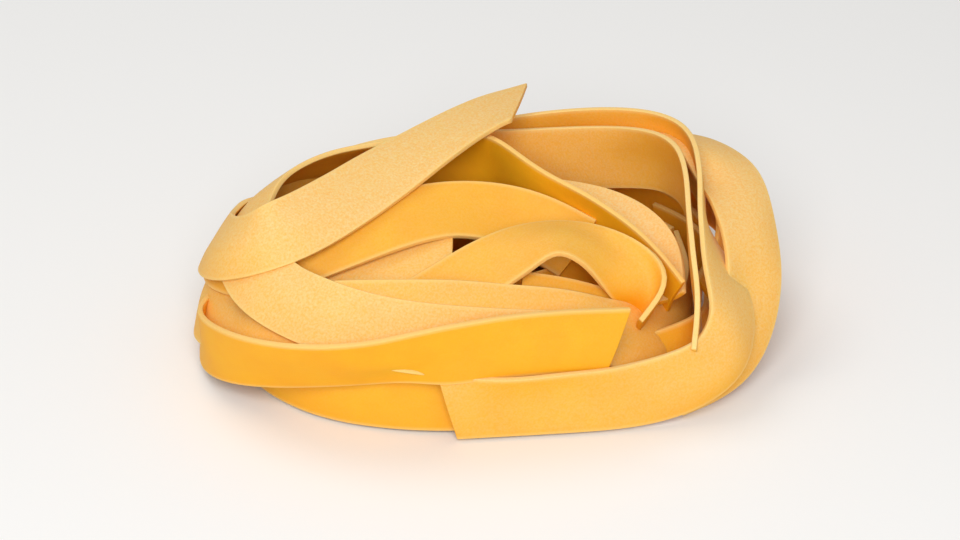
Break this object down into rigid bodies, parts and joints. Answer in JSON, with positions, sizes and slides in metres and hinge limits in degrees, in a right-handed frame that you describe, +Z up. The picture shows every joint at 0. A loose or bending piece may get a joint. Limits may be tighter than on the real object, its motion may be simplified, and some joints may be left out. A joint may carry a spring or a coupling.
{
  "type": "dry pasta nest",
  "caption": "Oval nest of wide flat dried egg noodles, wound and folded over one another, that stands flat on its underside.",
  "frame": {"origin": "centre of the nest's footprint, on the surface that it stands on", "axes": "+X along the nest's length, +Y away from the side with the open arches, +Z up"},
  "size_m": [0.12, 0.084, 0.042],
  "materials": {
    "dry_egg_pasta": "dry, matte and slightly grainy egg pasta"
  },
  "bodies": {
    "root": {"pasta_nest": "dry_egg_pasta"}
  },
  "joints": []
}
